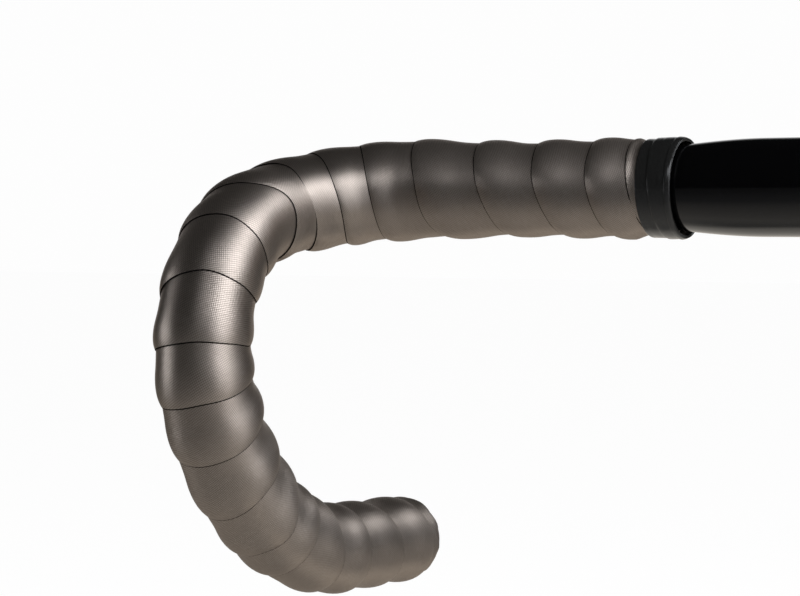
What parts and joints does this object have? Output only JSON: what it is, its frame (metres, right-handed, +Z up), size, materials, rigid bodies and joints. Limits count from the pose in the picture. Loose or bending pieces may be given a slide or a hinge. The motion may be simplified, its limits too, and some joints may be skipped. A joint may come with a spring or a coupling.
{
  "type": "taped drop handlebar",
  "caption": "Drop handlebar for a road bicycle, wrapped in cushioned bar tape with black finishing tape at the tops and a plug in each end.",
  "frame": {"origin": "centre of the tube where the stem clamps it", "axes": "+X along the clamped middle towards the rider's left, -Y forward, +Z up"},
  "size_m": [0.453, 0.16, 0.1658],
  "materials": {
    "bar_finish": "gloss",
    "bar_tape": "satin",
    "finishing_tape": "gloss",
    "plug": "satin"
  },
  "bodies": {
    "root": {"bar_tube": "bar_finish", "bar_tape_left": "bar_tape", "bar_tape_right": "bar_tape", "finishing_tape_left": "finishing_tape", "finishing_tape_right": "finishing_tape", "end_plug_left": "plug", "end_plug_right": "plug"}
  },
  "joints": []
}
